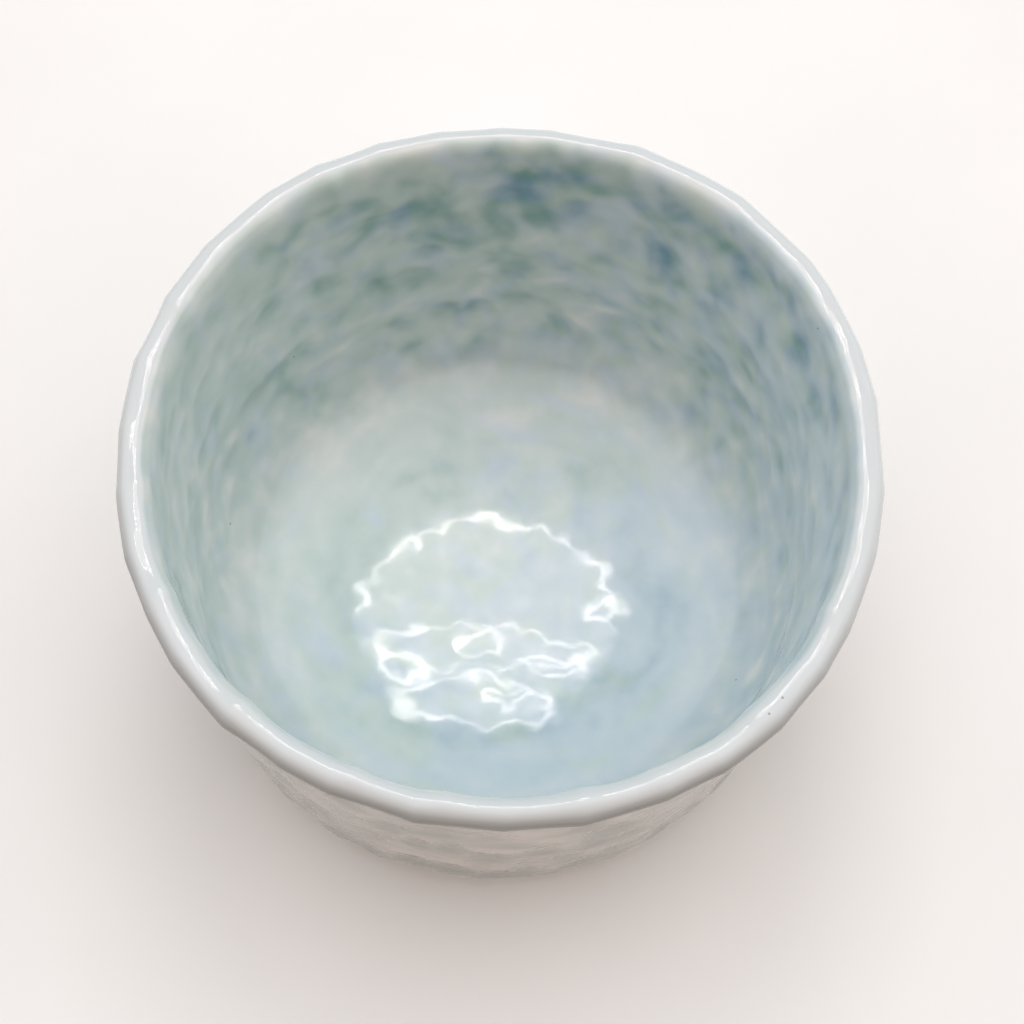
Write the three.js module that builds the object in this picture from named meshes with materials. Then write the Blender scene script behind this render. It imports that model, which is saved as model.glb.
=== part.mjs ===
// Hand-carved tea bowl: a thrown clay body on a turned foot ring, under coats of pale blue-green glaze.
// Millimetres, +Z up. The origin is the centre of the foot's standing face, and -Y is the viewer's side.
import * as THREE from "three";

// Overall sizes of the glazed bowl
const RIM_RADIUS = 60; // the lip's outermost line
const HEIGHT = 75;

// Lip: a rolled bead that stands out from the wall below it
const LIP_WIDTH = 5.2; // from the cavity to the outermost line
const LIP_DEPTH = 5.5; // from the top down to the crease under the bead
const LIP_PROUD = 1.2; // how far the bead stands out from the wall
const LIP_INNER_DROP = 3.5; // from the top down to the cavity's edge

// Outer wall and the hip that turns it under to the foot
const HIP_RADIUS = 54.5;
const HIP_RISE = 7; // from the top of the foot up to where the hip has become wall

// Cavity
const WALL = 4.4; // glazed wall, at the top of the cavity's corner
const FLOOR = 5; // glazed floor, at its centre
const FLOOR_RISE = 5; // how far the dished floor climbs to the corner
const CORNER_RUN = 12; // the corner between floor and wall, across
const CORNER_RISE = 19; // and up
const CAVITY_SHIFT = 0.8; // the cavity lies off centre, so that the lip is thicker on +X

// Foot ring
const FOOT_RADIUS = 30;
const FOOT_WIDTH = 6; // where it joins the body
const FOOT_HEIGHT = 6; // from the table to the glazed underside
const FOOT_TAPER = 0.8; // each side of the ring leans in by this, towards the table
const FOOT_EASE = 0.6; // rounded edge of the standing face

// Layers
const GLAZE = 0.6;
const BOND_GAP = 0.1; // between a coat and what it lies on, and between one coat and the next
const CLAY_DEPTH = GLAZE + BOND_GAP;

// Carving: staggered rows of scoops over both faces of the wall
const SCOOPS = 34; // in each row
const SCOOP_PITCH = 7; // from row to row
const SCOOP_DEPTH = 0.5;
const LIP_SCOOP_DEPTH = 0.25; // the rows run out in shallow scallops along the lip
const FLOOR_SCOOP_DEPTH = 0.2;

// Out of round: the rim is pulled slightly towards three and four corners
const THREE_LOBE = 0.3;
const FOUR_LOBE = 0.4;
const LOBE_ANGLE = THREE.MathUtils.degToRad(43);

// A turn has a step at the middle of each scoop and one on each ridge between scoops.
const STEPS = 2 * SCOOPS;
const FLOOR_ROWS = 4;
const CORNER_ROWS = 4;
const LIP_ROWS = 2;
const HIP_ROWS = 4;

const at = (r, z) => new THREE.Vector2(r, z);

// Where the line through a and b meets the line through c and d.
function crossing(a, b, c, d) {
  const along = b.clone().sub(a);
  const across = d.clone().sub(c);
  const share = c.clone().sub(a).cross(across) / along.cross(across);
  return along.multiplyScalar(share).add(a);
}

// Section of the glazed surface: radius and height at the points where its curves meet
const creaseUnderLip = at(RIM_RADIUS - LIP_PROUD, HEIGHT - LIP_DEPTH);
const hipTop = at(HIP_RADIUS, FOOT_HEIGHT + HIP_RISE);
const footJoint = at(FOOT_RADIUS, FOOT_HEIGHT);
const floorCentre = at(0, FOOT_HEIGHT + FLOOR);
const cavityEdge = at(RIM_RADIUS - LIP_WIDTH, HEIGHT - LIP_INNER_DROP);
const lipTop = at(RIM_RADIUS - LIP_WIDTH / 2, HEIGHT);
const lipOuter = at(RIM_RADIUS, HEIGHT - LIP_DEPTH / 2);

const cornerTopHeight = floorCentre.y + FLOOR_RISE + CORNER_RISE;
const outerAtCorner = crossing(hipTop, creaseUnderLip, at(0, cornerTopHeight), at(1, cornerTopHeight));
const cornerTop = at(outerAtCorner.x - WALL, cornerTopHeight);
const floorEdge = at(cornerTop.x - CORNER_RUN, floorCentre.y + FLOOR_RISE);

// A parabola from the level centre reaches the floor's edge along a line from half the radius.
const floorHandle = at(floorEdge.x / 2, floorCentre.y);
const cornerHandle = crossing(floorHandle, floorEdge, cavityEdge, cornerTop);
const innerLipHandle = crossing(cornerTop, cavityEdge, lipTop, at(0, HEIGHT));
const outerLipHandle = at(lipOuter.x, lipTop.y);
const beadHandle = at(lipOuter.x, creaseUnderLip.y + LIP_PROUD);
const hipHandle = crossing(creaseUnderLip, hipTop, footJoint, at(0, footJoint.y));

const bend = (from, handle, to) => new THREE.QuadraticBezierCurve(from, handle, to);
const wallRows = (from, to) => Math.max(2, Math.round(from.distanceTo(to) / SCOOP_PITCH));

// Each stretch of the section: its curve, its rows, the scoop's depth at its two ends, and how far
// the cavity's shift reaches at its two ends.
const STRETCHES = {
  floor: [bend(floorCentre, floorHandle, floorEdge), FLOOR_ROWS, [0, FLOOR_SCOOP_DEPTH], [1, 1]],
  corner: [bend(floorEdge, cornerHandle, cornerTop), CORNER_ROWS, [FLOOR_SCOOP_DEPTH, SCOOP_DEPTH], [1, 1]],
  cavityWall: [
    new THREE.LineCurve(cornerTop, cavityEdge),
    wallRows(cornerTop, cavityEdge),
    [SCOOP_DEPTH, LIP_SCOOP_DEPTH],
    [1, 1],
  ],
  innerLip: [bend(cavityEdge, innerLipHandle, lipTop), LIP_ROWS, [LIP_SCOOP_DEPTH, LIP_SCOOP_DEPTH], [1, 0]],
  outerLip: [bend(lipTop, outerLipHandle, lipOuter), LIP_ROWS, [LIP_SCOOP_DEPTH, LIP_SCOOP_DEPTH], [0, 0]],
  bead: [bend(lipOuter, beadHandle, creaseUnderLip), LIP_ROWS, [LIP_SCOOP_DEPTH, LIP_SCOOP_DEPTH], [0, 0]],
  outerWall: [
    new THREE.LineCurve(creaseUnderLip, hipTop),
    wallRows(creaseUnderLip, hipTop),
    [LIP_SCOOP_DEPTH, SCOOP_DEPTH],
    [0, 0],
  ],
  hip: [bend(hipTop, hipHandle, footJoint), HIP_ROWS, [SCOOP_DEPTH, 0], [0, 0]],
};
const LIP_STRETCHES = ["innerLip", "outerLip", "bead"];

// Walks the section from the floor's centre, over the lip, to the foot. Each station of it has a
// radius and height, an outward normal, a row number and its share of the hand-made departures.
function walkSection() {
  const stations = [];
  const firstOf = {};
  let row = 0;
  for (const [name, [curve, rows, scoop, shift]] of Object.entries(STRETCHES)) {
    firstOf[name] = Math.max(0, stations.length - 1);
    for (let i = stations.length ? 1 : 0; i <= rows; i++) {
      const share = i / rows;
      const point = curve.getPoint(share);
      if (!LIP_STRETCHES.includes(name)) row += 1;
      stations.push({
        r: point.x,
        z: point.y,
        row,
        index: stations.length,
        scoop: THREE.MathUtils.lerp(...scoop, share),
        shift: CAVITY_SHIFT * THREE.MathUtils.lerp(...shift, share),
        lobe: THREE.MathUtils.clamp((point.y - FOOT_HEIGHT) / (HEIGHT - FOOT_HEIGHT), 0, 1),
      });
    }
  }
  stations.forEach((station, i) => {
    const before = stations[Math.max(0, i - 1)];
    const after = stations[Math.min(stations.length - 1, i + 1)];
    const along = at(after.r - before.r, after.z - before.z).normalize();
    station.normal = at(-along.y, along.x);
  });
  stations[0].normal = at(0, 1);
  stations.at(-1).normal = at(0, -1);
  return { stations, firstOf };
}

// A station of plain turned clay or levelled glaze, with no carving and quite round.
const turned = (r, z) => ({ r, z, row: 0, index: 0, scoop: 0, shift: 0, lobe: 0, normal: at(0, 0) });

// The station moved along the section, one bond gap towards its neighbour.
function stepBack(station, neighbour) {
  const share = BOND_GAP / Math.hypot(neighbour.r - station.r, neighbour.z - station.z);
  return {
    ...station,
    r: THREE.MathUtils.lerp(station.r, neighbour.r, share),
    z: THREE.MathUtils.lerp(station.z, neighbour.z, share),
  };
}

// Where a station lies at one step of the turn, at a depth below the glazed surface.
function place(station, depth, step) {
  const turn = (step / STEPS) * 2 * Math.PI;
  const inScoop = (step + station.row) % 2;
  const sink = depth + inScoop * station.scoop;
  const lobes = THREE_LOBE * Math.cos(3 * (turn - LOBE_ANGLE)) + FOUR_LOBE * Math.cos(4 * (turn - LOBE_ANGLE));
  const radius = (station.r - station.normal.x * sink) * (1 + (lobes * station.lobe) / RIM_RADIUS);
  return [
    radius * Math.cos(turn) - station.shift,
    radius * Math.sin(turn),
    station.z - station.normal.y * sink,
  ];
}

// A closed solid turned from rings, each a station and its depth. The rings walk round the section with
// the outside on their left, either from the axis back to the axis or back to the first ring.
function turnSolid(name, rings, material) {
  const onAxis = rings.map(([station]) => station.r === 0);
  const spans = onAxis[0] ? rings.length - 1 : rings.length;
  const corner = (k, step) => (k % rings.length) * STEPS + (step % STEPS);
  const positions = [];
  const faces = [];
  for (const [station, depth] of rings)
    for (let step = 0; step < STEPS; step++) positions.push(...place(station, depth, step));
  for (let k = 0; k < spans; k++)
    for (let step = 0; step < STEPS; step++) {
      const [a, b] = [corner(k, step), corner(k, step + 1)];
      const [d, c] = [corner(k + 1, step), corner(k + 1, step + 1)];
      // Coats and clay fold the same four corners the same way, so that they stay apart evenly.
      const foldsAtA = (step + rings[k][0].index) % 2 === 0;
      const [near, far] = foldsAtA ? [[a, c, b], [a, d, c]] : [[a, d, b], [b, d, c]];
      if (!onAxis[k]) faces.push(...near);
      if (!onAxis[(k + 1) % rings.length]) faces.push(...far);
    }
  const geometry = new THREE.BufferGeometry();
  geometry.setAttribute("position", new THREE.Float32BufferAttribute(positions, 3));
  geometry.setIndex(faces);
  geometry.computeVertexNormals();
  const mesh = new THREE.Mesh(geometry, material);
  mesh.name = name;
  return mesh;
}

const ringsAt = (stations, depth) => stations.map((station) => [station, depth]);

// A coat of glaze over a stretch of the section: its free face, then back along its bonded face.
const coat = (stations) => [...ringsAt(stations, 0), ...ringsAt(stations, GLAZE).reverse()];

const CLAY = new THREE.MeshStandardMaterial({ color: 0xd9cfc0, roughness: 0.85, metalness: 0 });
const FOOT_CLAY = new THREE.MeshStandardMaterial({ color: 0xcdbba4, roughness: 0.9, metalness: 0 });
const CELADON = new THREE.MeshStandardMaterial({ color: 0xa9bfc2, roughness: 0.08, metalness: 0 });
const THIN_CELADON = new THREE.MeshStandardMaterial({ color: 0xdfe5e6, roughness: 0.08, metalness: 0 });

const { stations, firstOf } = walkSection();
const lipStart = firstOf.innerLip;
const lipEnd = firstOf.outerWall;

function clayBody() {
  const underside = turned(0, FOOT_HEIGHT + CLAY_DEPTH);
  return turnSolid("clay_body", [...ringsAt(stations, CLAY_DEPTH), [underside, 0]], CLAY);
}

function footRing() {
  const top = FOOT_HEIGHT + GLAZE;
  const inner = FOOT_RADIUS - FOOT_WIDTH;
  const standing = [FOOT_RADIUS - FOOT_TAPER, inner + FOOT_TAPER];
  const section = [
    turned(FOOT_RADIUS, top),
    turned(standing[0], FOOT_EASE),
    turned(standing[0] - FOOT_EASE, 0),
    turned(standing[1] + FOOT_EASE, 0),
    turned(standing[1], FOOT_EASE),
    turned(inner, top),
  ];
  return turnSolid("foot_ring", ringsAt(section, 0), FOOT_CLAY);
}

function innerGlaze() {
  return turnSolid("inner_glaze", coat(stations.slice(0, lipStart + 1)), CELADON);
}

function lipGlaze() {
  const over = stations.slice(lipStart, lipEnd + 1);
  over[0] = stepBack(over[0], over[1]);
  over.push(stepBack(over.pop(), over.at(-1)));
  return turnSolid("lip_glaze", coat(over), THIN_CELADON);
}

function outerGlaze() {
  const down = stations.slice(lipEnd);
  down.push(stepBack(down.pop(), down.at(-1)));
  return turnSolid("outer_glaze", coat(down), CELADON);
}

function baseGlaze() {
  const edge = FOOT_RADIUS - FOOT_WIDTH - BOND_GAP;
  const section = [
    turned(0, FOOT_HEIGHT + GLAZE),
    turned(edge, FOOT_HEIGHT + GLAZE),
    turned(edge, FOOT_HEIGHT),
    turned(0, FOOT_HEIGHT),
  ];
  return turnSolid("base_glaze", ringsAt(section, 0), CELADON);
}

const bowl = new THREE.Group();
bowl.add(clayBody(), footRing(), innerGlaze(), lipGlaze(), outerGlaze(), baseGlaze());

export default bowl;
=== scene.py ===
# Hand-carved celadon tea bowl on a pale table, seen from above.
# Sizes are in millimetres until a mesh is made. +Z is up, and the viewer is on the -Y side.
import math

import bpy
import numpy as np
from mathutils import Matrix, Vector


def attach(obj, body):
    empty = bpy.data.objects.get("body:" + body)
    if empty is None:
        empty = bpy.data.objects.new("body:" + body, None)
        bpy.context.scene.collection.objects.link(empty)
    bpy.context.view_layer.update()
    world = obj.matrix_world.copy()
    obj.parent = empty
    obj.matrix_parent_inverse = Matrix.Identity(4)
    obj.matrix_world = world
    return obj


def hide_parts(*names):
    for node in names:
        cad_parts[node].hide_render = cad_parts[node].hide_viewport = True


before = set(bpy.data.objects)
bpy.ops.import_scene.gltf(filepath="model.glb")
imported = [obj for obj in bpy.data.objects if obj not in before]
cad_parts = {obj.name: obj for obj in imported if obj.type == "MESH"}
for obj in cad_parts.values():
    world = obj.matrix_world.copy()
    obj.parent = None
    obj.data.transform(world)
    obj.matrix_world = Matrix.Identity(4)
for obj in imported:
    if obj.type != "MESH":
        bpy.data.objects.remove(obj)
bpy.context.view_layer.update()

MM = 0.001
TURN = 2 * math.pi

# Section of the glazed bowl
RIM_RADIUS = 60.0
HEIGHT = 75.0
LIP_WIDTH = 5.2
LIP_DEPTH = 5.5
LIP_PROUD = 1.2
LIP_INNER_DROP = 3.5
LIP_CROWN = 0.5  # how far the lip falls off on both sides of its ridge, before it rounds over
HIP_RADIUS = 54.5
HIP_RISE = 7.0
WALL = 4.4
FLOOR = 5.0
FLOOR_RISE = 5.0
CORNER_RUN = 12.0
CORNER_RISE = 19.0
CAVITY_SHIFT = 0.8
HIP_SHIFT = 0.9  # the wall leans as much off the rim's axis at the hip
FOOT_RADIUS = 30.0
FOOT_WIDTH = 6.0
FOOT_HEIGHT = 6.0
FOOT_TAPER = 0.8
FOOT_EASE = 0.6
FOOT_ROWS = 12
GLAZE = 0.6
BOND_GAP = 0.1
SOFTNESS = 0.35  # how far the glaze rounds the section's corners

# Out of round: waves round the rim, with their height and the angle of a crest
RIM_LOBES = {2: (0.14, -65), 3: (0.29, 43), 4: (0.41, 43), 5: (0.05, 21)}
RIM_DIP = 0.3  # slow rise and fall of the rim
RIM_DIP_CELLS = 7

# Carving. A fade is from where to where it runs, counted from the end of a stretch of the section.
FLOOR_FADE = (-8, 16)
CAVITY_FADE_IN = (-3, 9)
CAVITY_FADE_OUT = (-5, 1)
LIP_FADE_IN = (-4, 2)
LIP_FADE_OUT = (-3, 1)
OUTSIDE_FADE_IN = (-0.5, 4)
CORNER_BAND = (-8, 20)  # middle of the scraped curve from the corner's end, and half its width
LEAST_SCOOP_RADIUS = 20  # closer to the axis, scoops keep their width
BACK_ARC = (-0.1, 0.6)  # sine of the angles between which the full carving of the back starts
CAVITY_SCOOPS = 50  # in a row
CAVITY_SCOOP_PITCH = 6.4  # from row to row
CAVITY_SCOOP_DEPTH = 0.65
CAVITY_SCOOP_SHAPE = (5.0, 4.6)  # half width and half height
SIDE_CALM = 0.24  # share of the depth that the cavity's carving has off the back
CORNER_WAVES = 48  # the crests of the scraped curve from wall to floor, round it
CORNER_WAVE_PITCH = 2.4
CORNER_WAVE_DEPTH = 0.16
CRESTS = 30  # the long pale crests left by the scraping, round it
CREST_PITCH = 4.5
CREST_HEIGHT = 0.1
CREST_EDGE = 0.35  # how far they reach to each side, in the noise they follow
CREST_THINNING_AND_HIGHLIGHT = 0.22  # how much paler they are at the back: the glaze lies less deep on them, and partly a painted highlight
OUTER_SCOOPS = 48
OUTER_SCOOP_PITCH = 9.5
OUTER_SCOOP_DEPTH = 0.6
OUTER_SCOOP_SHAPE = (4.7, 6.8)
SWELLS = 40  # broad unevenness under the scoops, round the bowl
SWELL_PITCH = 9
CAVITY_SWELL = 0.12
OUTER_SWELL = 0.15
LIP_SCALLOPS = 34
LIP_SCALLOP_DEPTH = 0.5
LIP_FILL = 0.25  # how much fuller the lip is at the sides, where its top is flat
LIP_FILL_WIDTH = 1.4
CREASE_DEPTH = 0.7  # of the groove under the lip's bead
CREASE_WIDTH = 4.4
FLOOR_RIPPLE = 0.005
FLOOR_RIPPLE_CELL = 1.7
FLOOR_CHOP = 0.003  # the rougher ripples on the viewer's side of the floor
FLOOR_CHOP_CELL = (6.5, 3.2)
CHOP_FROM = (-2, -12)  # where it starts and is full, in front of the axis

# How deep the glaze lies, from 0 for pale to 1 for its full colour. In places this depth is painted shade: on
# the wall at the back, under the lip and on one side of the floor.
FULLEST_POOL = 1.3  # in a deep scoop, where an average one has 1
WALL_POOL = 0.3  # how much deeper it lies in a scoop than on a ridge, inside and outside
OUTER_POOL = 0.45
OUTER_DEPTH = 0.45
WALL_DEPTH = 0.28
WALL_PATCHES = 118  # round the wall
WALL_PATCH_HEIGHT = 3.1
WALL_PATCH_DEPTH = 0.3
CORNER_PATCH_HEIGHT = 2.4
OUTER_PATCHES = 44
OUTER_PATCH_HEIGHT = 2.4
OUTER_PATCH_DEPTH = 0.3
HIP_REACH = 15
HIP_DEPTH = 0.5  # how much more the glaze has gathered at the hip
FLOOR_DEPTH = 0.45
FLOOR_PATCHES = 44  # round the floor
FLOOR_PATCH_RUN = 2.6  # from the middle outwards
BASE_PATCH = 6.0
BASE_TINT_PATCH = 14
FLOOR_PATCH_DEPTH = 0.17
POOL_RADIUS = 27.0  # of the ring on the floor where the glaze has settled
POOL_WIDTH = 9
POOL_DEPTH = 0.14
# Painted shadow under the lip's inner edge, deepest at the back
UNDER_LIP_SHADE = 0.25
UNDER_LIP_SHADE_REACH = 24
FRONT_SHARE = 0.4  # of the back's patches and of its painted shadow under the lip
LIP_BAND = (4.1, 3.1)  # width of the pale band on the lip, at the front and at the back
BACK_SHADE_DEPTH = 0.34  # painted shade on the wall at the back: how much deeper the glaze colour is there
LOW_SHARE = 0.55  # of that painted shade, low on the wall
BEHIND = (0.5, 74)  # half of the way from front to back, and the angle of the back
FLOOR_SHADE_SIDE = (0.08, -65)  # painted shade: how much deeper the floor's colour is towards one side, in degrees round from +X
FLOOR_SHADE_RADII = (8, 40)  # where that starts and is full
GREENER = (0.28, 150)
SPECKS = [  # iron specks in the glaze
    (41.7, -20.4, 20.0),
    (41.0, -40.7, 74.9),
    (38.9, -43.5, 75.1),
    (50.1, 21.5, 72.4),
    (-49.2, 8.3, 23.8),
    (-37.5, 36.9, 33.5),
    (-12.9, -54.9, 40.5),
]
SPECK_RADIUS = 0.3

# Mesh
COLUMNS = 560
COARSE = 8  # fine columns to each column of a hidden face
FINE_STEP = 0.1
COARSE_STEP = 4.0
TURNED_COLUMNS = 144
# crease holds painted shade under the lip's bead, and depth holds painted shade in places
FIELDS = ("depth", "tint", "thin", "crease", "outside")
ROW_STEPS = {  # from row to row in each stretch of the section
    "floor": 0.8, "corner": 0.65, "cavity": 0.6, "lip top": 0.25, "bead": 0.25, "lip": 0.3,
    "wall": 0.65, "hip": 0.8,
}


def cross2(a, b):
    return a[0] * b[1] - a[1] * b[0]


def crossing(a, b, c, d):
    """Where the line through a and b meets the line through c and d."""
    return a + (b - a) * cross2(c - a, d - c) / cross2(b - a, d - c)


def bend(start, handle, end):
    """Close points on a curve that leaves start, and reaches end, in line with the handle."""
    length = np.linalg.norm(handle - start) + np.linalg.norm(end - handle)
    t = np.linspace(0, 1, int(length / FINE_STEP) + 2)[:, None]
    return (1 - t) ** 2 * start + 2 * t * (1 - t) * handle + t * t * end


def straight(start, end):
    return bend(start, (start + end) / 2, end)


def draw_section():
    """The glazed surface's radius and height, from the floor's centre over the lip to the foot, a fine step
    apart, and the length along it at which each of its stretches ends."""

    def at(r, z):
        return np.array([r, z], float)

    crease = at(RIM_RADIUS - LIP_PROUD, HEIGHT - LIP_DEPTH)
    hip_top = at(HIP_RADIUS, FOOT_HEIGHT + HIP_RISE)
    foot_joint = at(FOOT_RADIUS, FOOT_HEIGHT)
    floor_centre = at(0, FOOT_HEIGHT + FLOOR)
    cavity_edge = at(RIM_RADIUS - LIP_WIDTH, HEIGHT - LIP_INNER_DROP)
    ridge = at(RIM_RADIUS - LIP_WIDTH / 2, HEIGHT)
    shoulder = HEIGHT - LIP_CROWN
    lip_outer = at(RIM_RADIUS, HEIGHT - LIP_DEPTH / 2)
    corner_height = floor_centre[1] + FLOOR_RISE + CORNER_RISE
    outer_at_corner = crossing(hip_top, crease, at(0, corner_height), at(1, corner_height))
    corner_top = at(outer_at_corner[0] - WALL, corner_height)
    floor_edge = at(corner_top[0] - CORNER_RUN, floor_centre[1] + FLOOR_RISE)
    floor_handle = at(floor_edge[0] / 2, floor_centre[1])
    corner_handle = crossing(floor_handle, floor_edge, cavity_edge, corner_top)
    edge_handle = crossing(corner_top, cavity_edge, at(0, shoulder), at(1, shoulder))
    bead_handle = at(lip_outer[0], crease[1] + LIP_PROUD)
    hip_handle = crossing(crease, hip_top, foot_joint, at(0, foot_joint[1]))
    stretches = {
        "floor": bend(floor_centre, floor_handle, floor_edge),
        "corner": bend(floor_edge, corner_handle, corner_top),
        "cavity": straight(corner_top, cavity_edge),
        "lip top": bend(cavity_edge, edge_handle, ridge),
        "bead": bend(ridge, at(RIM_RADIUS, shoulder), lip_outer),
        "lip": bend(lip_outer, bead_handle, crease),
        "wall": straight(crease, hip_top),
        "hip": bend(hip_top, hip_handle, foot_joint),
    }
    ends = {}
    length = 0.0
    path = floor_centre[None]
    for name, points in stretches.items():
        length += np.linalg.norm(np.diff(points, axis=0), axis=1).sum()
        ends[name] = length
        path = np.concatenate([path, points[1:]])
    travelled = np.concatenate([[0], np.cumsum(np.linalg.norm(np.diff(path, axis=0), axis=1))])
    along = np.arange(0, length, FINE_STEP)
    even = np.stack([np.interp(along, travelled, path[:, k]) for k in (0, 1)], axis=1)
    # The section is mirrored at the axis and carried straight on at the foot,
    # so that softening keeps its ends.
    reach = int(3 * SOFTNESS / FINE_STEP)
    before = even[reach:0:-1] * [-1, 1]
    after = 2 * even[-1] - even[-2:-reach - 2:-1]
    weights = np.exp(-0.5 * (np.arange(-reach, reach + 1) * FINE_STEP / SOFTNESS) ** 2)
    padded = np.concatenate([before, even, after])
    soft = [np.convolve(padded[:, k], weights / weights.sum(), "valid") for k in (0, 1)]
    return along, np.stack(soft, axis=1), ends


def smooth_step(low, high, value):
    t = np.clip((value - low) / (high - low), 0, 1)
    return t * t * (3 - 2 * t)


def bump(centre, half_width, value):
    """1 at the centre, falling smoothly to 0 on either side, as far away as the half width."""
    return 1 - smooth_step(0, half_width, np.abs(value - centre))


def soft_noise(u, v, seed, wrap=0):
    """Soft random hills between about -1 and 1, one to each unit of u and v.
    With wrap, u repeats after wrap."""
    rng = np.random.default_rng(seed)
    u = u - (0 if wrap else np.floor(u.min()))
    v = v - np.floor(v.min())
    columns = wrap or int(u.max()) + 4
    lattice = rng.uniform(-1, 1, (int(v.max()) + 4, columns))
    column, row = np.floor(u).astype(int), np.floor(v).astype(int)
    total = np.zeros(np.broadcast(u, v).shape)

    def spline(t):
        return (
            (1 - t) ** 3 / 6,
            (3 * t ** 3 - 6 * t * t + 4) / 6,
            (-3 * t ** 3 + 3 * t * t + 3 * t + 1) / 6,
            t ** 3 / 6,
        )

    for i, wu in enumerate(spline(u - column)):
        for k, wv in enumerate(spline(v - row)):
            total = total + wu * wv * lattice[row + k, (column + i) % columns]
    return 1.7 * total


def patches(u, v, seed, wrap=0):
    """Irregular soft patches between about -1 and 1, one to each unit of u and v."""
    warp_u = 0.7 * soft_noise(u / 2, v / 2, seed + 1, wrap // 2)
    warp_v = 0.7 * soft_noise(u / 2, v / 2, seed + 2, wrap // 2)
    broad = soft_noise(u + warp_u, v + warp_v, seed + 3, wrap)
    fine = soft_noise(2 * (u + warp_u), 2 * (v + warp_v), seed + 4, 2 * wrap)
    return 0.8 * broad + 0.35 * fine


def blend(a, b, share):
    return a * (1 - share) + b * share


def towards(angle, lead):
    """A share that is highest towards one side and lowest opposite.
    lead is its height and that side's angle."""
    return lead[0] * np.cos(angle - math.radians(lead[1]))


def scoops(angle, along, radius, per_row, pitch, depth, shape, seed):
    """The floor of overlapping scoops in jittered rows: 0 on the ridges between them, and -depth
    in an average scoop's middle. shape is a scoop's half width and half height."""
    rng = np.random.default_rng(seed)
    rows = int(along.max() / pitch) + 4
    size = (rows, per_row)
    place_u = np.arange(per_row) + 0.5 * (np.arange(rows)[:, None] % 2) + rng.uniform(-0.38, 0.38, size)
    place_v = np.arange(rows)[:, None] + rng.uniform(-0.34, 0.34, size)
    half_width = shape[0] * rng.uniform(0.8, 1.3, size)
    half_height = shape[1] * rng.uniform(0.8, 1.25, size)
    deep = depth * rng.uniform(0.55, 1.45, size)
    lean = rng.uniform(-0.35, 0.35, size)
    u = angle / TURN * per_row
    v = along / pitch + 1
    column, row = np.floor(u).astype(int), np.floor(v).astype(int)
    to_mm = TURN * radius / per_row
    sharpness = 3.5 / depth
    total = np.ones(np.broadcast(u, v).shape)
    for step_row in (-1, 0, 1, 2):
        r = np.clip(row + step_row, 0, rows - 1)
        for step_column in (-2, -1, 0, 1, 2):
            c = (column + step_column) % per_row
            du = (u - place_u[r, c] + per_row / 2) % per_row - per_row / 2
            du = du * to_mm
            dv = (v - place_v[r, c]) * pitch + lean[r, c] * du
            bowl = deep[r, c] * ((du / half_width[r, c]) ** 2 + (dv / half_height[r, c]) ** 2 - 1)
            total = total + np.exp(-sharpness * np.minimum(bowl, depth))
    return -np.log(total) / sharpness


def scallops(angle, count, depth, seed):
    """Shallow flats round the lip that meet in soft corners."""
    rng = np.random.default_rng(seed)
    places = (np.arange(count) + rng.uniform(-0.3, 0.3, count)) / count * TURN
    deep = depth * rng.uniform(0.5, 1.4, count)
    half = TURN / count * rng.uniform(0.55, 0.8, count)
    sharpness = 14.0 / depth
    total = np.ones_like(angle)
    for place, d, h in zip(places, deep, half):
        away = (angle - place + math.pi) % TURN - math.pi
        total = total + np.exp(-sharpness * np.minimum(d * ((away / h) ** 2 - 1), depth))
    relief = -np.log(total) / sharpness
    return relief - relief.mean()


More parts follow.
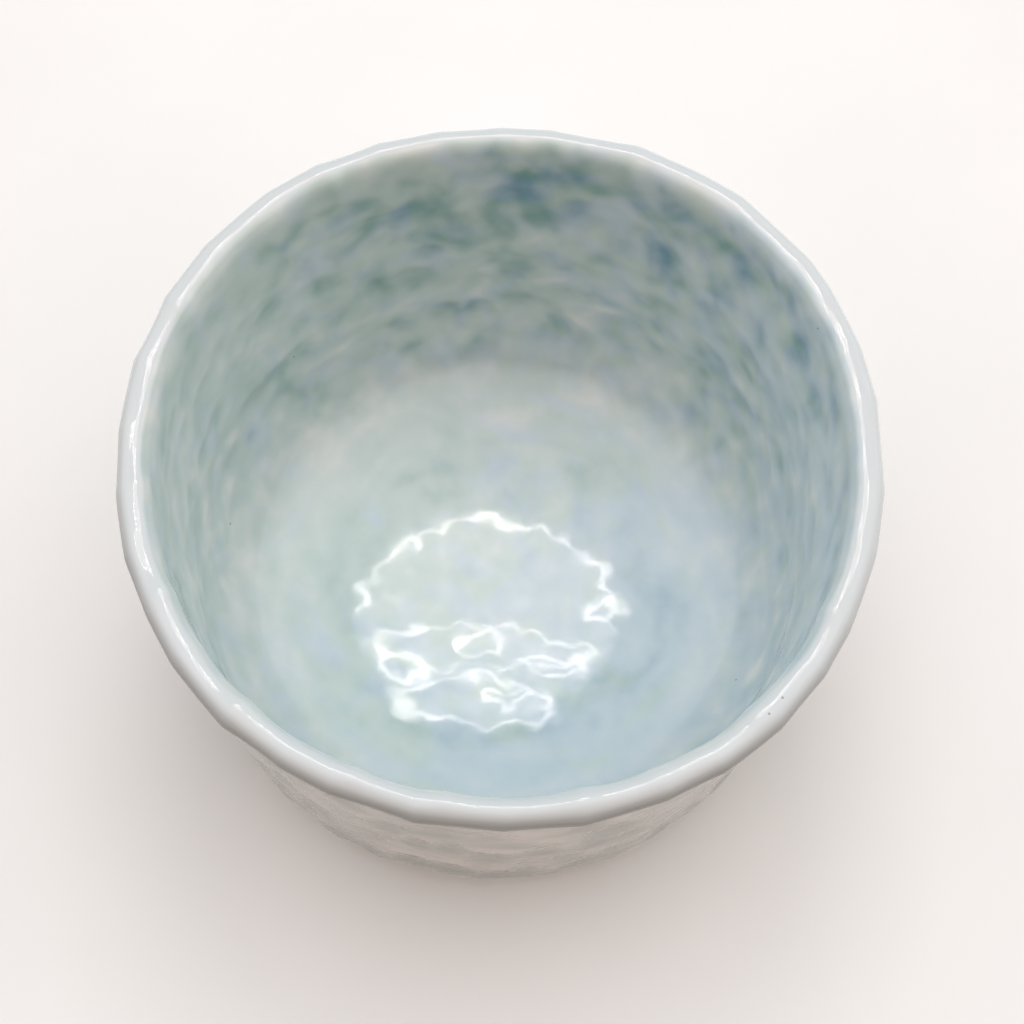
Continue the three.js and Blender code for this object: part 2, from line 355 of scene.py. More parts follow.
class Skin:
    """The whole glazed surface as one grid of rows, from the floor's centre over the lip to the foot,
    and columns round the bowl. Coats are cut from it, so that they meet without a seam."""

    def __init__(self):
        fine, section, ends = draw_section()
        starts = dict(zip(ends, [0.0, *ends.values()]))
        pieces = []
        for name, end in ends.items():
            count = max(2, round((end - starts[name]) / ROW_STEPS[name]))
            pieces.append(np.linspace(starts[name], end, count, endpoint=False))
        self.along = np.concatenate([*pieces, [fine[-1]]])
        self.ends = ends
        self.first_lip_row = int(np.searchsorted(self.along, ends["cavity"] - 1e-6))
        self.last_lip_row = int(np.searchsorted(self.along, ends["lip"] - 1e-6))
        self.angle = np.arange(COLUMNS) / COLUMNS * TURN
        self.radius, self.height = (np.interp(self.along, fine, section[:, k]) for k in (0, 1))
        slope = np.gradient(section, FINE_STEP, axis=0)
        slope = np.stack([np.interp(self.along, fine, slope[:, k]) for k in (0, 1)], axis=1)
        slope /= np.linalg.norm(slope, axis=1)[:, None]
        self.out = np.stack([-slope[:, 1], slope[:, 0]], axis=1)
        self.carve()
        self.colour()
        self.points = self.place(self.relief)
        self.normals = self.face()
        low = self.lowest_nearby()
        self.bonded = self.place(low - GLAZE)
        self.clay = self.place(low - GLAZE - BOND_GAP)

    def fade(self, stretch, limits):
        """From 0 to 1 along the section, between two distances from the end of a stretch."""
        end = self.ends[stretch]
        return smooth_step(end + limits[0], end + limits[1], self.along[:, None])

    def carve(self):
        """Relief in millimetres along the section's normal."""
        along = self.along[:, None]
        angle = self.angle[None, :]
        radius = self.radius[:, None]
        around = angle / TURN
        x, y = radius * np.cos(angle), radius * np.sin(angle)
        ends = self.ends
        self.on_floor = 1 - self.fade("floor", FLOOR_FADE)
        in_corner = bump(ends["corner"] + CORNER_BAND[0], CORNER_BAND[1], along)
        in_cavity = self.fade("floor", CAVITY_FADE_IN)
        in_cavity = in_cavity * (1 - self.fade("cavity", CAVITY_FADE_OUT))
        on_lip = self.fade("cavity", LIP_FADE_IN)
        on_lip = on_lip * (1 - self.fade("lip", LIP_FADE_OUT))
        on_outside = self.fade("lip", OUTSIDE_FADE_IN)
        on_outside = on_outside * (1 - smooth_step(ends["wall"] + 2, ends["hip"] - 8, along))

        round_at = np.maximum(radius, LEAST_SCOOP_RADIUS)
        cavity = scoops(angle, along, round_at, CAVITY_SCOOPS, CAVITY_SCOOP_PITCH,
                        CAVITY_SCOOP_DEPTH, CAVITY_SCOOP_SHAPE, seed=11)
        outer = scoops(angle, along, round_at, OUTER_SCOOPS, OUTER_SCOOP_PITCH,
                       OUTER_SCOOP_DEPTH, OUTER_SCOOP_SHAPE, seed=23)
        waves = soft_noise(around * CORNER_WAVES, along / CORNER_WAVE_PITCH, seed=29, wrap=CORNER_WAVES)
        crest = soft_noise(around * CRESTS, along / CREST_PITCH, seed=37, wrap=CRESTS)
        self.crest = in_corner * (1 - smooth_step(0, CREST_EDGE, np.abs(crest)))
        lip_top = scallops(self.angle, LIP_SCALLOPS, LIP_SCALLOP_DEPTH, seed=5)[None, :]
        lip_side = scallops(self.angle, LIP_SCALLOPS, LIP_SCALLOP_DEPTH, seed=7)[None, :]
        lip = blend(lip_top, lip_side, smooth_step(ends["lip top"] - 2, ends["bead"] - 1, along))
        beside_ridge = (
            bump(ends["lip top"] - LIP_FILL_WIDTH, LIP_FILL_WIDTH, along)
            + bump(ends["lip top"] + LIP_FILL_WIDTH, LIP_FILL_WIDTH, along)
        )
        lip = lip + LIP_FILL * np.cos(angle) ** 2 * beside_ridge
        swell = soft_noise(around * SWELLS, along / SWELL_PITCH, seed=31, wrap=SWELLS)
        ripple = soft_noise(x / FLOOR_RIPPLE_CELL, y / FLOOR_RIPPLE_CELL, seed=41)
        chop = soft_noise(x / FLOOR_CHOP_CELL[0], y / FLOOR_CHOP_CELL[1], seed=43)
        near_viewer = smooth_step(*CHOP_FROM, y)
        fading_up = 1.25 - 0.6 * smooth_step(ends["floor"] + 8, ends["cavity"], along)
        carved = blend(SIDE_CALM, 1, smooth_step(*BACK_ARC, np.sin(angle)))
        self.relief = (
            carved * in_cavity * fading_up * (cavity + CAVITY_SWELL * swell)
            + carved * (in_corner * CORNER_WAVE_DEPTH * waves + CREST_HEIGHT * self.crest)
            + on_outside * (outer + OUTER_SWELL * swell)
            + on_lip * lip
            - CREASE_DEPTH * bump(ends["lip"] + 0.3, CREASE_WIDTH / 2, along)
            + self.on_floor * (FLOOR_RIPPLE * ripple + FLOOR_CHOP * near_viewer * chop)
        )
        self.pool = in_cavity * np.clip(-cavity / CAVITY_SCOOP_DEPTH, 0, FULLEST_POOL)
        self.pool = self.pool + on_outside * np.clip(-outer / OUTER_SCOOP_DEPTH, 0, FULLEST_POOL)

    def colour(self):
        """What the glaze's colour follows: how deep it lies, how green it is, and where it is thin,
        with painted shade on the wall at the back, under the lip, on one side of the floor and under the
        lip's bead at the front, and paler crests that are partly a painted highlight."""
        along = self.along[:, None]
        angle = self.angle[None, :]
        radius = self.radius[:, None]
        around = angle / TURN
        ends = self.ends
        behind = 0.5 + towards(angle, BEHIND)
        rows = np.minimum(along, ends["corner"]) / CORNER_PATCH_HEIGHT
        rows = rows + np.maximum(along - ends["corner"], 0) / WALL_PATCH_HEIGHT
        wall_patches = patches(around * WALL_PATCHES, rows, 61, WALL_PATCHES)
        wall = WALL_DEPTH + WALL_POOL * (self.pool - 0.5)
        wall = wall + WALL_PATCH_DEPTH * blend(FRONT_SHARE, 1, behind) * wall_patches
        up_the_wall = blend(LOW_SHARE, 1, smooth_step(ends["floor"], ends["cavity"], along))
        inside = 1 - smooth_step(ends["cavity"] + 1, ends["lip top"], along)
        # Painted shade on the wall at the back, more up the wall than low
        wall = wall + BACK_SHADE_DEPTH * behind ** 3 * up_the_wall * inside
        outer = patches(around * OUTER_PATCHES, along / OUTER_PATCH_HEIGHT, 65, OUTER_PATCHES)
        outer = OUTER_DEPTH + OUTER_POOL * (self.pool - 0.5) + OUTER_PATCH_DEPTH * outer
        outer = outer + HIP_DEPTH * smooth_step(ends["wall"] - HIP_REACH, ends["wall"], along)
        wall = blend(wall, outer, smooth_step(ends["bead"], ends["lip"], along))
        floor = FLOOR_DEPTH + FLOOR_PATCH_DEPTH * self.floor_patches(67)
        floor = floor + POOL_DEPTH * bump(POOL_RADIUS, POOL_WIDTH, radius)
        # Painted shade: the floor deeper in colour towards the viewer's side
        floor = floor + towards(angle, FLOOR_SHADE_SIDE) * smooth_step(*FLOOR_SHADE_RADII, radius)
        # Crests paler at the back: thinner glaze, and partly a painted highlight
        self.depth = blend(wall, floor, self.on_floor) - CREST_THINNING_AND_HIGHLIGHT * behind * self.crest
        # Painted shadow under the lip's inner edge, deepest at the back
        shade_under_lip = bump(ends["cavity"], UNDER_LIP_SHADE_REACH, along)
        self.depth = self.depth + UNDER_LIP_SHADE * blend(FRONT_SHARE, 1, behind) * shade_under_lip
        wall_tint = patches(around * WALL_PATCHES, rows, 71, WALL_PATCHES)
        tint = blend(wall_tint, self.floor_patches(73), self.on_floor)
        self.tint = 0.5 + 0.5 * tint + towards(angle, GREENER)
        every = np.ones_like(self.depth)
        inside_band = radius - RIM_RADIUS + blend(*LIP_BAND, behind)
        thin = smooth_step(-0.4, 0.2, inside_band) * (1 - smooth_step(ends["lip"] - 2, ends["lip"], along))
        self.thin = every * thin
        # Painted shade under the lip's bead, on the viewer's side only
        shade_under_bead = smooth_step(ends["lip top"] + 0.5, ends["bead"] - 0.1, along)
        shade_under_bead = shade_under_bead * (1 - smooth_step(ends["lip"] + 0.5, ends["lip"] + 2.5, along))
        self.crease = shade_under_bead * smooth_step(0.65, 0.15, behind)
        self.outside = every * smooth_step(ends["lip"] - 3, ends["lip"], along)

    def floor_patches(self, seed):
        """Patches drawn out round the floor, and even in its middle, where the columns run together."""
        radius = self.radius[:, None]
        angle = self.angle[None, :]
        x, y = radius * np.cos(angle), radius * np.sin(angle)
        middle = patches(x / FLOOR_PATCH_RUN, y / FLOOR_PATCH_RUN, seed)
        drawn_out = patches(angle / TURN * FLOOR_PATCHES, radius / FLOOR_PATCH_RUN, seed, FLOOR_PATCHES)
        return blend(middle, drawn_out, smooth_step(12, 20, radius))

    def lowest_nearby(self):
        """The deepest relief within reach of one coarse face, so that hidden faces stay under the surface."""
        low = np.min([np.roll(self.relief, k, axis=1) for k in range(-COARSE, COARSE + 1)], axis=0)
        rows = int(COARSE_STEP / min(ROW_STEPS.values()))
        padded = np.pad(low, ((rows, rows), (0, 0)), mode="edge")
        return np.min([padded[k:k + len(low)] for k in range(2 * rows + 1)], axis=0)

    def place(self, relief):
        """The surface's points where it stands as much as the relief off the section."""
        angle = self.angle[None, :]
        ends = self.ends
        rise = np.clip((self.height - FOOT_HEIGHT) / (HEIGHT - FOOT_HEIGHT), 0, 1)[:, None]
        lobes = sum(
            high * np.cos(waves * (angle - math.radians(crest)))
            for waves, (high, crest) in RIM_LOBES.items()
        )
        dip = RIM_DIP * soft_noise(angle / TURN * RIM_DIP_CELLS, np.zeros((1, 1)), seed=3, wrap=RIM_DIP_CELLS)
        shift = CAVITY_SHIFT * (1 - smooth_step(ends["cavity"] - 20, ends["cavity"] - 2, self.along))
        lean = np.interp(self.along, (ends["lip"], ends["wall"], ends["hip"]), (0, HIP_SHIFT, 0))
        radius = self.radius[:, None] + self.out[:, 0][:, None] * relief
        radius = radius * (1 + lobes * rise / RIM_RADIUS)
        height = self.height[:, None] + self.out[:, 1][:, None] * relief + dip * rise ** 3
        x, y = radius * np.cos(angle), radius * np.sin(angle)
        points = np.stack([x, y, height * np.ones_like(radius)], axis=2)
        points[:, :, 0] -= (shift + lean)[:, None]
        points[0] = points[0].mean(axis=0)
        return points

    def face(self):
        down = np.gradient(self.points, axis=0)
        padded = np.concatenate([self.points[:, -1:], self.points, self.points[:, :1]], axis=1)
        round_ = padded[:, 2:] - padded[:, :-2]
        normals = np.cross(down, round_)
        normals[0] = [0, 0, 1]
        return normals / np.linalg.norm(normals, axis=2)[:, :, None]

    def coarse_rows(self, first, last):
        count = max(2, int((self.along[last] - self.along[first]) / COARSE_STEP) + 2)
        targets = np.linspace(self.along[first], self.along[last], count)
        return np.unique(np.clip(np.searchsorted(self.along, targets - 1e-6), first, last))


skin = Skin()


def new_piece(name, points, faces, material, nodes, smooth_faces=None, normals=None, fields=None):
    """A piece that rides on the bowl and stands for CAD nodes. Points are in millimetres."""
    mesh = bpy.data.meshes.new(name)
    mesh.from_pydata((np.asarray(points) * MM).tolist(), [], faces)
    smooth = np.zeros(len(faces), bool)
    smooth[:len(faces) if smooth_faces is None else smooth_faces] = True
    mesh.polygons.foreach_set("use_smooth", smooth)
    for field, values in (fields or {}).items():
        attribute = mesh.attributes.new(field, "FLOAT", "POINT")
        full = np.zeros(len(points), np.float32)
        full[:len(values)] = values
        attribute.data.foreach_set("value", full)
    mesh.materials.append(material)
    mesh.update()
    if normals is not None:
        corners = np.empty(len(mesh.loops), np.int32)
        mesh.loops.foreach_get("vertex_index", corners)
        shown = sum(len(face) for face in faces[:smooth_faces])
        split = np.zeros((len(corners), 3))
        split[:shown] = normals[corners[:shown]]
        mesh.normals_split_custom_set(split.tolist())
    piece = bpy.data.objects.new(name, mesh)
    bpy.context.scene.collection.objects.link(piece)
    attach(piece, "root")
    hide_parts(*nodes)
    return piece


def grid_faces(index, turned=False):
    """Faces over a grid of point numbers that closes on itself sideways.
    A row may be one point many times."""
    beside = np.roll(index, -1, axis=1)
    faces = np.stack([index[:-1], index[1:], beside[1:], beside[:-1]], axis=2)
    if turned:
        faces = faces[:, :, ::-1]
    return [list(dict.fromkeys(face)) for face in faces.reshape(-1, 4).tolist()]


def coat(name, first, last, material, nodes):
    """A coat of glaze: fine rows of the skin, closed by a coarse face where it lies on the clay."""
    on_axis = first == 0
    rows = last - first + 1
    front = np.arange(rows * COLUMNS).reshape(rows, COLUMNS)
    points = skin.points[first:last + 1].reshape(-1, 3)
    back_points = skin.bonded[skin.coarse_rows(first, last)][:, ::COARSE]
    back = len(points) + np.arange(back_points.shape[0] * back_points.shape[1]).reshape(back_points.shape[:2])
    if on_axis:
        front[0] = front[0, 0]
        back[0] = back[0, 0]
    faces = grid_faces(front)
    shown = len(faces)
    faces += grid_faces(back, turned=True)
    wide = np.concatenate([front, front[:, :1]], axis=1)
    beside = np.roll(back, -1, axis=1)
    for k in range(back.shape[1]):
        stretch = slice(k * COARSE, (k + 1) * COARSE + 1)
        if not on_axis:
            faces.append([*wide[0, stretch].tolist(), int(beside[0, k]), int(back[0, k])])
        faces.append([*wide[-1, stretch][::-1].tolist(), int(back[-1, k]), int(beside[-1, k])])
    fields = {field: getattr(skin, field)[first:last + 1].ravel() for field in FIELDS}
    normals = skin.normals[first:last + 1].reshape(-1, 3)
    return new_piece(name, np.concatenate([points, back_points.reshape(-1, 3)]), faces, material, nodes,
                     smooth_faces=shown, normals=normals, fields=fields)


def clay_core(name, material, nodes):
    """The clay under the coats, closed by a level underside."""
    rings = skin.clay[skin.coarse_rows(0, len(skin.along) - 1)][:, ::COARSE]
    middle = np.full((1, rings.shape[1], 3), [0, 0, FOOT_HEIGHT + GLAZE + BOND_GAP])
    rings = np.concatenate([rings, middle])
    index = np.arange(rings.shape[0] * rings.shape[1]).reshape(rings.shape[:2])
    index[0] = index[0, 0]
    index[-1] = index[-1, 0]
    return new_piece(name, rings.reshape(-1, 3), grid_faces(index), material, nodes)


def turned_piece(name, section, material, nodes, fields=None):
    """A round solid from points of its section, which has the outside on its left.
    A section that starts on the axis ends on it, and any other closes on itself."""
    turn = np.arange(TURNED_COLUMNS) / TURNED_COLUMNS * TURN
    radius, height = section[:, :1], section[:, 1:]
    points = np.stack([radius * np.cos(turn), radius * np.sin(turn), height * np.ones_like(turn)], axis=2)
    index = np.arange(points.shape[0] * points.shape[1]).reshape(points.shape[:2])
    if section[0, 0] == 0:
        index[0] = index[0, 0]
        index[-1] = index[-1, 0]
    else:
        index = np.concatenate([index, index[:1]])
    points = points.reshape(-1, 3)
    return new_piece(name, points, grid_faces(index), material, nodes, fields=fields and fields(points))


def foot_section():
    """From the joint down the outside, over the rounded standing edge and up the inside."""
    top = FOOT_HEIGHT + GLAZE
    inner = FOOT_RADIUS - FOOT_WIDTH
    walls = [(FOOT_RADIUS, top), (FOOT_RADIUS - FOOT_TAPER, 0), (inner + FOOT_TAPER, 0), (inner, top)]
    outer_top, outer_edge, inner_edge, inner_top = (np.array(point, float) for point in walls)

    def eased(a, b):
        return a + (b - a) * FOOT_EASE / np.linalg.norm(b - a)

    def down(a, b):
        return np.linspace(a, b, FOOT_ROWS)

    return np.concatenate([
        down(outer_top, eased(outer_edge, outer_top))[:-1],
        bend(eased(outer_edge, outer_top), outer_edge, eased(outer_edge, inner_edge))[::3],
        bend(eased(inner_edge, outer_edge), inner_edge, eased(inner_edge, inner_top))[::3],
        down(eased(inner_edge, inner_top), inner_top)[1:],
    ])


def base_section():
    """The glaze inside the foot, level on the clay and dished on its free face."""
    edge = FOOT_RADIUS - FOOT_WIDTH - BOND_GAP
    out = np.linspace(0, edge, 20)
    top = np.stack([out, np.full_like(out, FOOT_HEIGHT + GLAZE)], axis=1)
    free = np.stack([out, FOOT_HEIGHT + 0.2 * (1 - (out / edge) ** 4)], axis=1)
    return np.concatenate([top, free[::-1]])


def base_fields(points):
    x, y = points[:, 0], points[:, 1]
    depth = WALL_DEPTH + FLOOR_PATCH_DEPTH * patches(x / BASE_PATCH, y / BASE_PATCH, 81)
    tint = 0.5 + 0.5 * patches(x / BASE_TINT_PATCH, y / BASE_TINT_PATCH, 83)
    return {"depth": depth, "tint": tint, "outside": np.ones_like(depth)}


# Materials
class Nodes:
    """A node tree, with short calls for the nodes that are used here."""

    def __init__(self, tree):
        self.tree = tree

    def add(self, kind, **settings):
        node = self.tree.nodes.new("ShaderNode" + kind)
        for name, value in settings.items():
            setattr(node, name, value)
        return node

    def put(self, target, value):
        if isinstance(value, bpy.types.NodeSocket):
            self.tree.links.new(value, target)
        else:
            target.default_value = value

    def math(self, operation, a, b=0.0):
        node = self.add("Math", operation=operation)
        self.put(node.inputs[0], a)
        self.put(node.inputs[1], b)
        return node.outputs[0]

    def total(self, *parts):
        """The sum of values, each times its weight."""
        terms = [self.math("MULTIPLY", value, weight) for value, weight in parts]
        while len(terms) > 1:
            terms.append(self.math("ADD", terms.pop(0), terms.pop(0)))
        return terms[0]

    def vector(self, operation, a, b):
        node = self.add("VectorMath", operation=operation)
        self.put(node.inputs[0], a)
        self.put(node.inputs[1], b)
        return next(socket for socket in node.outputs if socket.enabled)

    def join(self, *values):
        """A vector of three values."""
        node = self.add("CombineXYZ")
        for target, value in zip(node.inputs, values):
            self.put(target, value)
        return node.outputs[0]

    def spread(self, value, low, high, to_low=0.0, to_high=1.0):
        node = self.add("MapRange", interpolation_type="SMOOTHSTEP")
        for target, given in zip(node.inputs, (value, low, high, to_low, to_high)):
            self.put(target, given)
        return node.outputs[0]

    def band(self, value, middle, half_width):
        """1 where the value is at the middle, falling to 0 half a width away."""
        return self.spread(self.math("ABSOLUTE", self.math("SUBTRACT", value, middle)), half_width, 0.0)

    def mix(self, share, a, b):
        node = self.add("Mix", data_type="RGBA")
        self.put(node.inputs["Factor"], share)
        colours = [socket for socket in node.inputs if socket.type == "RGBA"]
        self.put(colours[0], a)
        self.put(colours[1], b)
        return next(socket for socket in node.outputs if socket.type == "RGBA")

    def noise(self, place, size, detail=2.0, roughness=0.5, output="Fac"):
        """Noise with hills about size millimetres across."""
        node = self.add("TexNoise")
        self.put(node.inputs["Vector"], place)
        self.put(node.inputs["Scale"], 1 / (size * MM))
        self.put(node.inputs["Detail"], detail)
        self.put(node.inputs["Roughness"], roughness)
        return node.outputs[output]


class Shader(Nodes):
    """A material's nodes, which end in its shader."""

    def __init__(self, name):
        self.material = bpy.data.materials.new(name)
        self.material.use_nodes = True
        super().__init__(self.material.node_tree)
        self.surface = self.tree.nodes["Principled BSDF"]
        self.place = self.add("TexCoord").outputs["Object"]

    def field(self, name):
        return self.add("Attribute", attribute_name=name).outputs["Fac"]

    def bump(self, height, distance):
        node = self.add("Bump")
        self.put(node.inputs["Distance"], distance * MM)
        self.put(node.inputs["Height"], height)
        self.put(self.surface.inputs["Normal"], node.outputs[0])

    def set(self, **values):
        for name, value in values.items():
            self.put(self.surface.inputs[name.replace("_", " ")], value)


def srgb(red, green, blue):
    """A colour as written on the photograph's 0 to 255 scale."""
    scale = [c / 255 for c in (red, green, blue)]
    return (*[c / 12.92 if c <= 0.04045 else ((c + 0.055) / 1.055) ** 2.4 for c in scale], 1.0)


THIN_GLAZE = srgb(228, 231, 229)
BLUE_GLAZE = srgb(199, 214, 221)
GREEN_GLAZE = srgb(200, 215, 211)
DEEP_BLUE_GLAZE = srgb(88, 139, 164)
DEEP_GREEN_GLAZE = srgb(92, 147, 141)
LIP_GLAZE = srgb(208, 214, 216)
# The outside's colours: the celadon with painted shade and warm light from the table in them, darker and
# warmer than inside
OUTER_THIN_GLAZE_AND_SHADE = srgb(199, 194, 188)
OUTER_DEEP_GLAZE_AND_SHADE = srgb(152, 157, 152)
# Painted shade under the lip's bead
CREASE_SHADE = srgb(128, 128, 123)
SPECK_COLOUR = srgb(96, 98, 88)


def glaze_material(name):
    """Celadon: pale where it is thin over ridges and the lip, blue or green where it lies thick
    in hollows. Its depth also carries painted shade, the outside's colours hold painted shade and warm light,
    and painted shade lies under the lip's bead."""
    shader = Shader(name)
    depth, tint, thin, crease, outside = (shader.field(field) for field in FIELDS)
    grain = shader.math("SUBTRACT", shader.noise(shader.place, 3.0, 2.0), 0.5)
    depth = shader.total((depth, 1.0), (grain, shader.spread(outside, 0.0, 1.0, 0.2, 0.0)))
    green = shader.spread(tint, 0.2, 0.8)
    middling = shader.mix(green, BLUE_GLAZE, GREEN_GLAZE)
    deep = shader.mix(green, DEEP_BLUE_GLAZE, DEEP_GREEN_GLAZE)
    inside_colour = shader.mix(shader.spread(depth, 0.0, 0.5), THIN_GLAZE, middling)
    inside_colour = shader.mix(shader.spread(depth, 0.4, 1.35), inside_colour, deep)
    # The outside's colour holds painted shade and warm light from the table
    shaded_outside_colour = shader.mix(shader.spread(depth, 0.0, 1.0), OUTER_THIN_GLAZE_AND_SHADE, OUTER_DEEP_GLAZE_AND_SHADE)
    colour = shader.mix(outside, inside_colour, shaded_outside_colour)
    colour = shader.mix(thin, colour, LIP_GLAZE)
    # Painted shade under the lip's bead, on the viewer's side
    colour = shader.mix(crease, colour, CREASE_SHADE)
    surface_points = skin.points.reshape(-1, 3)
    for speck in SPECKS:
        nearest = surface_points[np.linalg.norm(surface_points - speck, axis=1).argmin()]
        away = shader.vector("DISTANCE", shader.place, nearest * MM)
        colour = shader.mix(shader.spread(away, SPECK_RADIUS * MM, 0.0, 0.0, 0.9), colour, SPECK_COLOUR)
    shader.set(Base_Color=colour, IOR=1.5)
    shader.set(Roughness=shader.spread(shader.noise(shader.place, 2.0), 0.3, 0.7, 0.03, 0.05))
    return shader.material


def clay_material(name, colour, dark):
    """Bare fired clay with a sandy grain and fine turning lines."""
    shader = Shader(name)
    grain = shader.noise(shader.place, 0.5, 4.0, 0.7)
    patch = shader.noise(shader.place, 9.0, 3.0)
    lines = shader.add("TexWave", wave_type="RINGS", rings_direction="Z")
    shader.put(lines.inputs["Vector"], shader.place)
    shader.put(lines.inputs["Scale"], 300.0)
    shader.put(lines.inputs["Distortion"], 1.5)
    tone = shader.total((grain, 0.4), (patch, 0.4), (lines.outputs["Fac"], 0.2))
    shader.set(Base_Color=shader.mix(shader.spread(tone, 0.3, 0.7), dark, colour))
    shader.set(Roughness=shader.spread(grain, 0.3, 0.7, 0.75, 0.95))
    shader.bump(shader.total((grain, 0.5), (lines.outputs["Fac"], 0.5)), 0.08)
    return shader.material


glaze = glaze_material("celadon_glaze")
coat("inner_glaze_coat", 0, skin.first_lip_row, glaze, ["inner_glaze"])
coat("lip_glaze_coat", skin.first_lip_row, skin.last_lip_row, glaze, ["lip_glaze"])
coat("outer_glaze_coat", skin.last_lip_row, len(skin.along) - 1, glaze, ["outer_glaze"])
turned_piece("base_glaze_coat", base_section(), glaze, ["base_glaze"], base_fields)
body_clay = clay_material("body_clay", srgb(222, 213, 200), srgb(205, 193, 178))
clay_core("clay_core", body_clay, ["clay_body"])
foot_clay = clay_material("foot_clay", srgb(212, 196, 176), srgb(184, 164, 142))
turned_piece("turned_foot", foot_section(), foot_clay, ["foot_ring"])

# Camera: where the photograph was taken from, with the image 1024 pixels square
IMAGE_SIDE = 1024
FOCAL_PIXELS = 1853
CAMERA_DISTANCE = 286.0  # from the rim's centre
CAMERA_ELEVATION = math.radians(64.64)
RIM_CENTRE_PIXEL = (501.5, 443.3)


def set_camera():
    data = bpy.data.cameras.new("camera")
    data.sensor_width = 36.0
    data.lens = data.sensor_width * FOCAL_PIXELS / IMAGE_SIDE
    data.clip_start = 0.01
    camera = bpy.data.objects.new("camera", data)
    camera.location = (
        0,
        -CAMERA_DISTANCE * math.cos(CAMERA_ELEVATION) * MM,
        (HEIGHT + CAMERA_DISTANCE * math.sin(CAMERA_ELEVATION)) * MM,
    )
    across, down = (IMAGE_SIDE / 2 - pixel for pixel in RIM_CENTRE_PIXEL)
    at_rim_centre = Matrix.Rotation(math.pi / 2 - CAMERA_ELEVATION, 3, "X")
    to_the_right = Matrix.Rotation(-math.atan(across / FOCAL_PIXELS), 3, "Y")
    downwards = Matrix.Rotation(-math.atan(down / FOCAL_PIXELS), 3, "X")
    camera.rotation_euler = (at_rim_centre @ to_the_right @ downwards).to_euler()
    bpy.context.scene.collection.objects.link(camera)
    bpy.context.scene.camera = camera


set_camera()


# Table and light
TABLE_COLOURS = (srgb(241, 241, 240), srgb(244, 244, 243))
TABLE_HALF = 3.0  # metres
SKY_LOBES = [  # soft parts of the sky: where each is, the cosine of how far it reaches, and its light
    ((0.0, 0.0, 1.0), 0.8, (1.09, 1.06, 1.145)),
    ((0.0, 0.8, 0.6), 0.3, (0.32, 0.38, 0.4)),
    ((0.0, -0.8, 0.6), 0.3, (0.26, 0.09, 0.0)),
    ((-0.8, 0.0, 0.6), 0.3, (0.8, 0.81, 0.81)),
    ((0.8, 0.0, 0.6), 0.3, (1.03, 1.03, 1.02)),
    ((0.0, -0.5, 0.866), 0.75, (-0.3, -0.3, -0.3)),  # the viewer's shade
]

# A round lamp behind and above the bowl. Sizes are in metres, and shapes in shares of its rim's radius,
# with x to the right and y up as its mirror image in the bowl is seen.
LAMP_CENTRE = Vector((0.006, 0.241, 0.5575))
LAMP_AIM = Vector((-0.004, -0.006, 0.011))
LAMP_RADIUS = 0.118
LAMP_RIM = 0.103
LAMP_COLOUR = (1.0, 0.92, 0.88, 1.0)
LAMP_GLOW = 2.1
LAMP_LINE = 0.035  # half the width of its bright lines
LAMP_LINE_GLOW = 16.0
LAMP_HALO = 0.11
LAMP_HALO_GLOW = 2.0
LAMP_HAZE_GLOW = 2.0
LAMP_HAZE_SIZE = 22.0
LAMP_UNEVEN_SIZE = 30.0  # of the brighter and dimmer stretches of its lines
LAMP_SHAPE = (0.96, 1.0)
LAMP_PARTS = (0.2, -0.25)  # between the calm upper part and the lower one
LAMP_DOME = (-0.15, 0.05)  # where its rim's bright line starts and is full
LAMP_FOLD = ((-0.05, -0.5), (0.78, 0.46))  # its brighter lower part: centre, half width and half height
LAMP_FOLD_GLOW = 0.8
LAMP_LOOPS = [  # bright loops in it
    ((0.0, -0.26), (0.76, 0.2)),
    ((-0.05, -0.2), (0.16, 0.08)),
    ((0.52, -0.42), (0.17, 0.12)),
    ((-0.6, -0.46), (0.18, 0.14)),
    ((-0.08, -0.78), (0.53, 0.22)),
    ((0.15, -0.72), (0.14, 0.07)),
    ((0.9, 0.08), (0.1, 0.09)),
]
# What makes its lines wavy: width in millimetres, detail, reach in the upper and in the lower part
LAMP_WAVES = [
    (34.0, 1.0, 0.12, 0.3),
    (17.0, 0.0, 0.2, 0.16),
]
LAMP_WAVES_FROM = (3.2, 4.0, 0.9)  # where in the noise the waves are taken


def set_table():
    mesh = bpy.data.meshes.new("table")
    half = TABLE_HALF
    corners = [(-half, -half, 0), (half, -half, 0), (half, half, 0), (-half, half, 0)]
    mesh.from_pydata(corners, [], [(0, 1, 2, 3)])
    shader = Shader("table_top")
    mottle = shader.noise(shader.place, 60.0, 5.0)
    shader.set(Base_Color=shader.mix(shader.spread(mottle, 0.3, 0.7), *TABLE_COLOURS), Roughness=0.6)
    mesh.materials.append(shader.material)
    table = bpy.data.objects.new("table", mesh)
    bpy.context.scene.collection.objects.link(table)


def set_sky():
    world = bpy.data.worlds.new("sky")
    world.use_nodes = True
    bpy.context.scene.world = world
    nodes = Nodes(world.node_tree)
    direction = nodes.add("TexCoord").outputs["Generated"]
    colour = (0.0, 0.0, 0.0)
    for middle, edge, light in SKY_LOBES:
        share = nodes.spread(nodes.vector("DOT_PRODUCT", direction, middle), edge, 1.0)
        colour = nodes.vector("ADD", colour, nodes.vector("MULTIPLY", nodes.join(share, share, share), light))
    nodes.put(world.node_tree.nodes["Background"].inputs["Color"], colour)


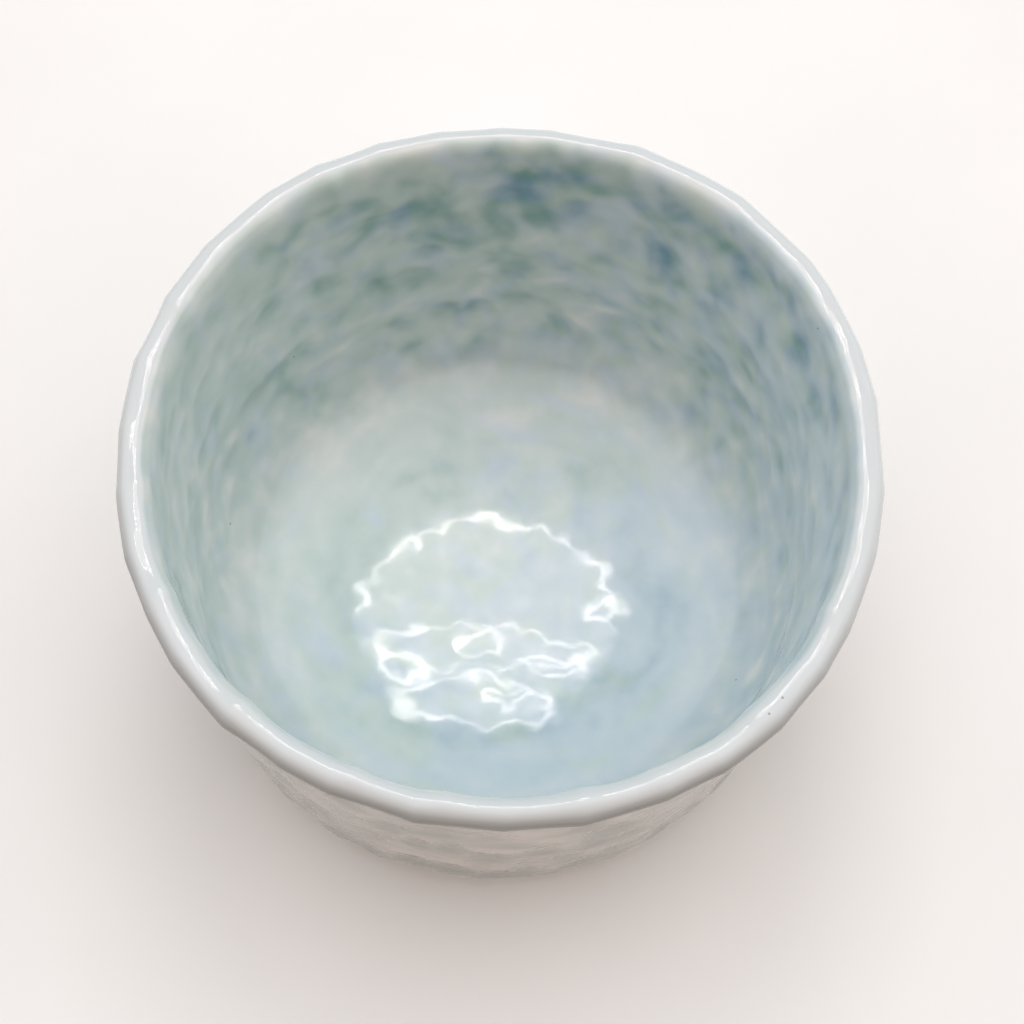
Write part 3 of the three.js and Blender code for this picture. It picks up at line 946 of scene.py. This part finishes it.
def set_lamp():
    data = bpy.data.lights.new("lamp", "AREA")
    data.shape = "DISK"
    data.size = 2 * LAMP_RADIUS
    data.energy = math.pi * math.pi * LAMP_RADIUS ** 2  # a strength of 1 is then as bright as a sky of 1
    lamp = bpy.data.objects.new("lamp", data)
    lamp.location = LAMP_CENTRE
    turn = (LAMP_AIM - LAMP_CENTRE).to_track_quat("-Z", "Y")
    lamp.rotation_euler = turn.to_euler()
    bpy.context.scene.collection.objects.link(lamp)
    data.use_nodes = True
    nodes = Nodes(data.node_tree)
    offset = nodes.vector("SUBTRACT", nodes.add("NewGeometry").outputs["Position"], LAMP_CENTRE)
    x, y = (nodes.vector("DOT_PRODUCT", offset, turn @ Vector(axis)) for axis in ((1, 0, 0), (0, 1, 0)))
    place = nodes.vector("ADD", nodes.join(x, y, 0.0), LAMP_WAVES_FROM)
    x, y = (nodes.math("DIVIDE", value, LAMP_RIM) for value in (x, y))
    waved = nodes.join(x, y, 0.0)
    for width, detail, upper, lower in LAMP_WAVES:
        push = nodes.vector("SUBTRACT", nodes.noise(place, width, detail, output="Color"), (0.5, 0.5, 0.5))
        reach = nodes.spread(y, *LAMP_PARTS, upper, lower)
        waved = nodes.vector("ADD", waved, nodes.vector("MULTIPLY", push, nodes.join(reach, reach, 0.0)))

    def away(centre, shape):
        """How far out a point is in an oval, 1 on its wavy edge."""
        middle = [c / s for c, s in zip(centre, shape)]
        return nodes.vector("DISTANCE", nodes.vector("DIVIDE", waved, (*shape, 1.0)), (*middle, 0.0))

    uneven = nodes.spread(nodes.noise(place, LAMP_UNEVEN_SIZE, 1.0), 0.35, 0.65, 0.4, 1.0)

    def line(oval, size, where):
        """A bright line round an oval, with a soft glow beside it."""
        sharp = nodes.band(oval, 1.0, LAMP_LINE / size)
        soft = nodes.band(oval, 1.0, LAMP_HALO / size)
        glow = nodes.total((sharp, LAMP_LINE_GLOW), (soft, LAMP_HALO_GLOW))
        return (nodes.math("MULTIPLY", glow, where), 1.0)

    out = away((0.0, 0.0), LAMP_SHAPE)
    lines = [line(out, 1.0, nodes.math("MULTIPLY", uneven, nodes.spread(y, *LAMP_DOME)))]
    for centre, shape in LAMP_LOOPS:
        lines.append(line(away(centre, shape), math.sqrt(shape[0] * shape[1]), uneven))
    cloud = nodes.spread(nodes.noise(place, LAMP_HAZE_SIZE, 1.0), 0.55, 0.75)
    haze = nodes.math("MULTIPLY", cloud, nodes.spread(out, 1.0, 0.8))
    strength = nodes.total(
        (nodes.spread(out, 1.12, 0.98), LAMP_GLOW),
        (nodes.spread(away(*LAMP_FOLD), 1.1, 0.9), LAMP_FOLD_GLOW),
        (haze, LAMP_HAZE_GLOW),
        *lines,
    )
    emission = data.node_tree.nodes["Emission"]
    nodes.put(emission.inputs["Color"], LAMP_COLOUR)
    nodes.put(emission.inputs["Strength"], strength)


set_table()
set_sky()
set_lamp()
bpy.context.scene.view_settings.view_transform = "Standard"
